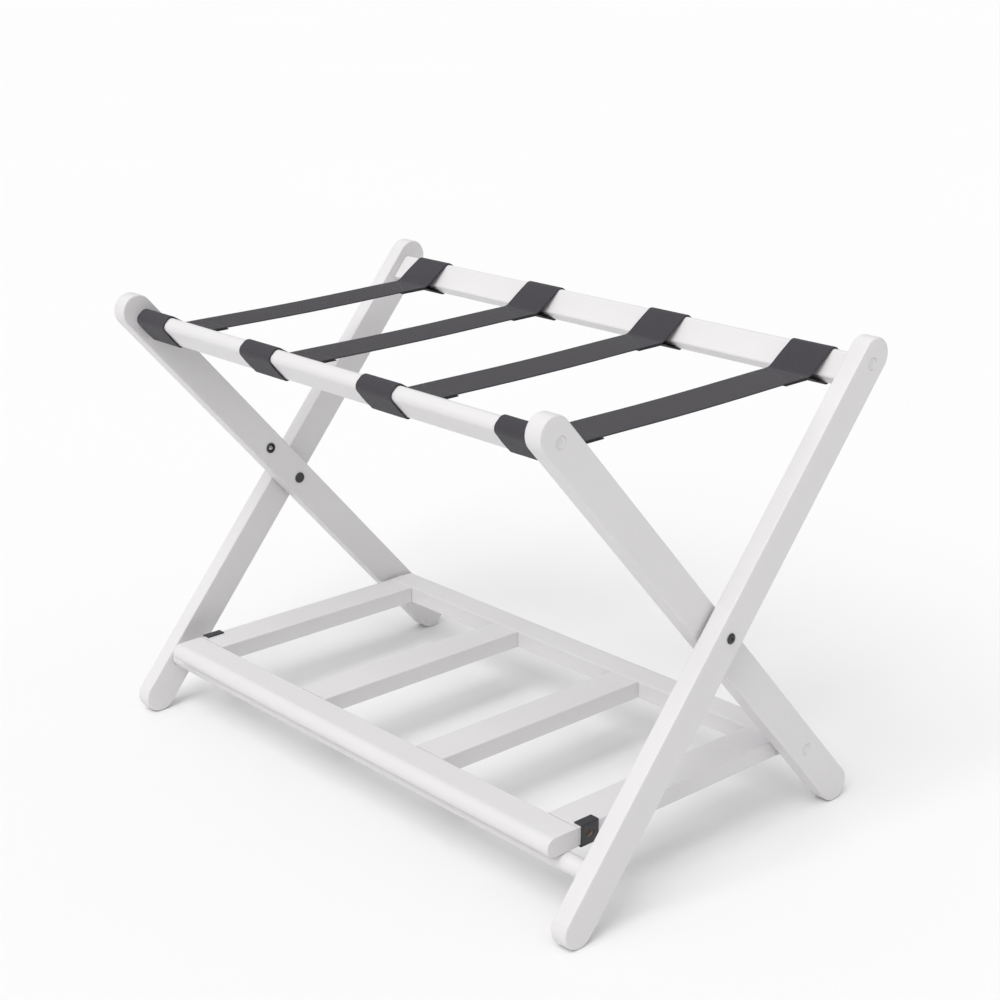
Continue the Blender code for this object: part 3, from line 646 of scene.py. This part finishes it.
def soft_corner(before, corner, after, size, steps=8):
    """The corner between two straight runs, eased by a short curve."""
    start = corner + (before - corner).normalized() * size
    end = corner + (after - corner).normalized() * size
    points = []
    for step in range(steps + 1):
        t = step / steps
        points.append(start * (1 - t) ** 2 + corner * 2 * t * (1 - t) + end * t ** 2)
    return points


def bowed(start, end, rise, steps=8):
    """Points between two ends of a straight run, bowed out a little to its left."""
    along = end - start
    out = Vector((-along.y, along.x)).normalized()
    points = []
    for step in range(1, steps):
        t = step / steps
        points.append(start + along * t + out * rise * sin(pi * t) ** 2)
    return points


def touching_angle(point, centre, radius, side):
    """The angle, at a corner's centre, where a straight run from a point touches its curve."""
    across, up = point - centre
    return degrees(atan2(up, across) + side * acos(radius / hypot(across, up)))


def strap_half():
    """The band's middle layer: sewn end, once round the front rail, and on to mid-span."""
    layer = GAP + STRAP_THICKNESS / 2
    lean = degrees(LEAN)
    half = RAIL_THICKNESS / 2
    low = RAIL_LOWER_RADIUS
    top = RAIL_UPPER_RADIUS
    low_front = rail_point(-half + low, RAIL_BOTTOM + low)
    top_front = rail_point(-half + top, RAIL_TOP - top)
    top_back = rail_point(half - top, RAIL_TOP - top)

    level = rail_point(half + layer, RAIL_BOTTOM - layer).y
    offset = (STRAP_THICKNESS + GAP) / 2
    lower_join = Vector((-STRAP_JOIN, level - offset))
    upper_join = Vector((-STRAP_JOIN, level + offset))
    sewn_end = Vector((-LAP_END, lower_join.y))
    middle = Vector((0.0, upper_join.y))
    start = touching_angle(lower_join, low_front, low + layer, -1)
    end = touching_angle(upper_join, top_back, top + layer, 1)
    first = arc(low_front, low + layer, start, lean - 180, 8)
    second = arc(top_front, top + layer, lean - 180, lean - 270, 12)
    third = arc(top_back, top + layer, lean + 90, end, 12)

    under = soft_corner(sewn_end, lower_join, first[0], STRAP_BEND)
    over = soft_corner(third[-1], upper_join, middle, STRAP_BEND)
    path = [sewn_end, *under, *bowed(under[-1], first[0], BOW_UNDER), *first]
    path += [*bowed(first[-1], second[0], BOW_ROUND_RAIL), *second, *third]
    path += [*bowed(third[-1], over[0], BOW_UNDER), *over, middle]
    return path


def subdivided(path, longest):
    """A path whose long straight runs are cut into shorter ones."""
    points = [path[0]]
    for first, second in zip(path, path[1:]):
        count = max(1, ceil((second - first).length / longest))
        points += [first.lerp(second, step / count) for step in range(1, count + 1)]
    return points


def distances_along(path):
    lengths = [0.0]
    for first, second in zip(path, path[1:]):
        lengths.append(lengths[-1] + (second - first).length)
    return lengths


def strap_path():
    half = strap_half()
    whole = half + [Vector((-point.x, point.y)) for point in reversed(half[:-1])]
    return subdivided(whole, LONGEST_STEP)


def side_profile():
    """The band's section, from one selvedge to the other, as (across, half thickness)."""
    half = STRAP_WIDTH / 2
    thick = STRAP_THICKNESS / 2
    edge = [(-half, 0.25), (-half + 0.00025, 0.68), (-half + 0.0007, 0.94), (-half + 0.0011, 0.97),
            (-half + 0.00135, 0.90)]
    ribs = []
    for step in range(4 * RIBS + 1):
        rise = abs(sin(pi * step / 4))
        ribs.append((-RIB_EDGE + RIB_PITCH * step / 4, 1 - RIB_DEPTH * (1 - rise)))
    other = [(-across, share) for across, share in reversed(edge)]
    return [(across, thick * share) for across, share in edge + ribs + other]


def sag_at(y):
    """How far the open span hangs below a straight line between the rails."""
    reach = STRAP_JOIN - STRAP_BEND
    if abs(y) >= reach:
        return 0.0
    return STRAP_SAG * (1 - (y / reach) ** 2) ** 2


def add_strap(number, centre, points):
    """One band of webbing with both ends lapped back."""
    section = side_profile()
    distances = distances_along(points)
    stations = len(points)
    columns = len(section)
    shift = SIDE_SHIFT * sin(number * 2.3)
    verts = []
    place = []
    for index, point in enumerate(points):
        before = points[max(index - 1, 0)]
        after = points[min(index + 1, stations - 1)]
        along = (after - before).normalized()
        out = Vector((-along.y, along.x))
        distance = distances[index]
        wander = EDGE_WANDER * noise.noise(Vector((distance * 9.0, number * 7.0, 0.0)))
        inner = CUT_END_STATIONS <= index < stations - CUT_END_STATIONS
        fray = 1.0 if inner else CUT_END_SHARE
        for across, thickness in section:
            ripple = RIPPLE * noise.noise(Vector((distance * 60, across * 90, number * 3.0)))
            sag = sag_at(point.x)
            x = centre + shift + wander + across
            for sign in (1, -1):
                offset = out * (sign * thickness * fray + ripple)
                verts.append((x, point.x + offset.x, point.y + offset.y - sag))
                place.append((across, distance))
    faces = []

    def at(index, column, layer):
        return (index * columns + column) * 2 + layer

    for index in range(stations - 1):
        for column in range(columns - 1):
            for layer in (0, 1):
                faces.append((at(index, column, layer), at(index, column + 1, layer),
                              at(index + 1, column + 1, layer), at(index + 1, column, layer)))
        for column in (0, columns - 1):
            faces.append((at(index, column, 0), at(index, column, 1),
                          at(index + 1, column, 1), at(index + 1, column, 0)))
    for index in (0, stations - 1):
        for column in range(columns - 1):
            faces.append((at(index, column, 0), at(index, column + 1, 0),
                          at(index, column + 1, 1), at(index, column, 1)))
    band = add_mesh(f"webbing_{number}", verts, faces, WEBBING)
    layer = band.data.uv_layers.new(name="band")
    for loop in band.data.loops:
        layer.data[loop.index].uv = place[loop.vertex_index]
    return band, shift


def capsule(start, end, radius, sides=6):
    """A short stitch: a thin rounded rod whose ends dip into the webbing."""
    along = end - start
    length = along.length
    direction = along.normalized()
    normal = direction.orthogonal().normalized()
    other = direction.cross(normal)
    verts = [start]
    for share, width in ((0.04, 0.6), (0.18, 0.95), (0.5, 1.0), (0.82, 0.95), (0.96, 0.6)):
        middle = start + direction * length * share
        for side in range(sides):
            angle = 2 * pi * side / sides
            spoke = (normal * cos(angle) + other * sin(angle)) * radius * width
            verts.append(middle + spoke)
    verts.append(end)
    last = len(verts) - 1
    faces = []
    for side in range(sides):
        after = (side + 1) % sides
        faces.append((0, 1 + after, 1 + side))
        for ring in range(4):
            a = 1 + ring * sides
            b = a + sides
            faces.append((a + side, a + after, b + after, b + side))
        faces.append((1 + 4 * sides + side, 1 + 4 * sides + after, last))
    return verts, faces


def seam_runs(centre, shift, end):
    """The straight seams of a box stitch at one end of a band, as pairs of (x, y) points."""
    left = centre + shift - STRAP_WIDTH / 2 + STITCH_INSET
    right = centre + shift + STRAP_WIDTH / 2 - STITCH_INSET
    near = end * (LAP_END + STITCH_INSET)
    far = end * SEAM_NEAR_RAIL
    return [((left, near), (right, near)), ((left, far), (right, far)),
            ((left, near), (left, far)), ((right, near), (right, far)),
            ((left, near), (right, far)), ((right, near), (left, far))]


def add_stitching(number, centre, shift, upper, lower):
    """Lock stitches on the upper and lower sides of both laps."""
    verts = []
    faces = []
    half = STRAP_THICKNESS / 2 * 0.9
    for end in (-1, 1):
        for (x0, y0), (x1, y1) in seam_runs(centre, shift, end):
            length = hypot(x1 - x0, y1 - y0)
            count = max(1, int(length / STITCH_PITCH))
            for index in range(count):
                middle = (index + 0.5) / count
                reach = STITCH_LENGTH / 2 / length
                for height in (upper + half, lower - half):
                    ends = []
                    for t in (middle - reach, middle + reach):
                        y = y0 + (y1 - y0) * t
                        ends.append(Vector((x0 + (x1 - x0) * t, y, height - sag_at(y))))
                    more, shape = capsule(ends[0], ends[1], STITCH_RADIUS)
                    offset = len(verts)
                    verts += more
                    faces += [tuple(i + offset for i in face) for face in shape]
    return add_mesh(f"stitching_{number}", verts, faces, THREAD)


def add_straps():
    points = strap_path()
    upper = max(point.y for point in points if abs(point.x) < 0.01)
    lower = upper - STRAP_THICKNESS - GAP
    for number in range(1, 5):
        node = f"strap_{number}"
        centre = middle_of(node).x
        band, shift = add_strap(number, centre, points)
        stitching = add_stitching(number, centre, shift, upper, lower)
        for piece in (band, stitching):
            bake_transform(piece)
        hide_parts(node)


# ---------------------------------------------------------------- studio

CAMERA_PLACE = (1.3021, -1.1226, 0.8538)
CAMERA_FORWARD = Vector((-0.70849, 0.62843, -0.32111))
CAMERA_UP = Vector((-0.22962, 0.22498, 0.94692))
CAMERA_LENS = 67.45           # for a 36 mm wide sensor
FLOOR_HALF = 60.0
FLOOR_DROP = 0.0002           # below the feet
SUN_TOWARD = Vector((0.17, -0.60, 0.78))
SUN_STRENGTH = 1.70
SUN_SPREAD = 42.0             # degrees
SKY_LOW = (0.16, 0.16, 0.162)
SKY_HIGH = (0.93, 0.93, 0.935)


def add_camera():
    data = bpy.data.cameras.new("camera")
    data.sensor_width = 36.0
    data.lens = CAMERA_LENS
    data.clip_start = 0.05
    data.clip_end = 100.0
    camera = bpy.data.objects.new("camera", data)
    bpy.context.scene.collection.objects.link(camera)
    back = -CAMERA_FORWARD.normalized()
    right = CAMERA_UP.cross(back).normalized()
    up = back.cross(right)
    turn = Matrix((right, up, back)).transposed().to_4x4()
    camera.matrix_world = Matrix.Translation(CAMERA_PLACE) @ turn
    bpy.context.scene.camera = camera


def add_floor():
    half = FLOOR_HALF
    corners = [(-half, -half, 0.0), (half, -half, 0.0), (half, half, 0.0), (-half, half, 0.0)]
    material, tree, shader = new_material("studio_floor")
    place = add_coordinates(tree)
    clouds = add_noise(tree, place, 0.8, 2.0, 0.5)
    tree.links.new(add_mix(tree, clouds, (0.895, 0.895, 0.895), (0.905, 0.905, 0.905)),
                   shader.inputs["Base Color"])
    shader.inputs["Roughness"].default_value = 0.9
    shader.inputs["Specular IOR Level"].default_value = 0.0
    floor = add_mesh("studio_floor", corners, [(0, 1, 2, 3)], material)
    floor.location.z = cad_low.z - FLOOR_DROP


def add_light():
    data = bpy.data.lights.new("soft_sun", "SUN")
    data.energy = SUN_STRENGTH
    data.angle = radians(SUN_SPREAD)
    data.color = (1.0, 0.996, 0.99)
    sun = bpy.data.objects.new("soft_sun", data)
    bpy.context.scene.collection.objects.link(sun)
    sun.rotation_mode = "QUATERNION"
    sun.rotation_quaternion = SUN_TOWARD.normalized().to_track_quat("Z", "Y")


def add_world():
    """Even light from all round, a little brighter overhead, and white behind the rack."""
    world = bpy.data.worlds.new("studio")
    bpy.context.scene.world = world
    world.use_nodes = True
    tree = world.node_tree
    background = tree.nodes["Background"]
    place = tree.nodes.new("ShaderNodeTexCoord")
    split = tree.nodes.new("ShaderNodeSeparateXYZ")
    tree.links.new(place.outputs["Generated"], split.inputs[0])
    lit = add_mix(tree, add_range(tree, split.outputs[2], 0.0, 1.0), SKY_LOW, SKY_HIGH)
    path = tree.nodes.new("ShaderNodeLightPath")
    colour = add_mix(tree, path.outputs["Is Camera Ray"], lit, (1.0, 1.0, 1.0))
    tree.links.new(colour, background.inputs["Color"])
    background.inputs["Strength"].default_value = 1.0


def set_view():
    settings = bpy.context.scene.view_settings
    settings.view_transform = "Standard"
    settings.look = "None"
    settings.exposure = 0.0
    settings.gamma = 1.0


add_camera()
add_floor()
add_light()
add_world()
set_view()
finish_cad_nodes()
add_screw_covers()
add_pivot_bolts()
add_catch_balls()
add_straps()
